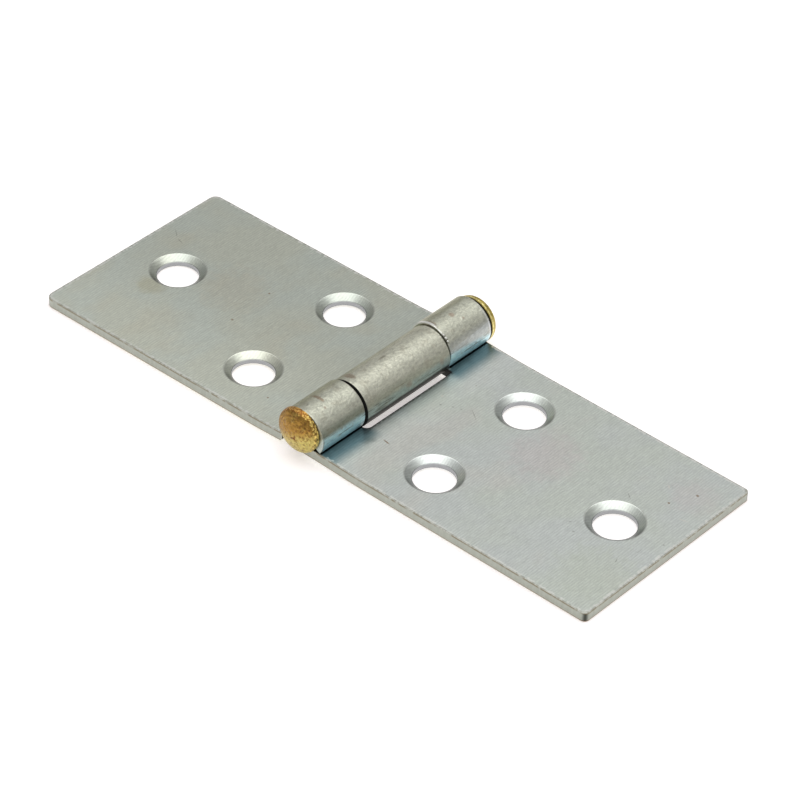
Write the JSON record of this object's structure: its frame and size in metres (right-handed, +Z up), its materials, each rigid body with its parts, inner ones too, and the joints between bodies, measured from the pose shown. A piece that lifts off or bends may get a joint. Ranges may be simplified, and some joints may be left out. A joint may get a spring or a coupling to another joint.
{
  "type": "flap hinge",
  "caption": "Flat pressed-steel flap hinge with interlocking rolled knuckles, countersunk screw holes and a domed brass rivet pin.",
  "frame": {"origin": "on the resting plane below the middle of the pin, with the hinge open flat and its knuckles upwards", "axes": "+X along the leaf that carries the outer knuckles, +Y along the pin, +Z up out of the countersunk face"},
  "size_m": [0.085, 0.0334, 0.0069],
  "materials": {
    "zinc_plated_steel": "satin zinc plating over cold-rolled sheet",
    "brass": "hammered, tarnished"
  },
  "bodies": {
    "fixed_leaf": {"outer_knuckle_leaf": "zinc_plated_steel", "rivet_pin": "brass"},
    "folding_leaf": {"centre_knuckle_leaf": "zinc_plated_steel"}
  },
  "joints": [
    {"name": "flap_pivot", "type": "hinge", "parent": "fixed_leaf", "child": "folding_leaf", "pos_m": [0, 0, 0.0036], "axis": [0, 1, 0], "range_deg": [-90, 180]}
  ]
}
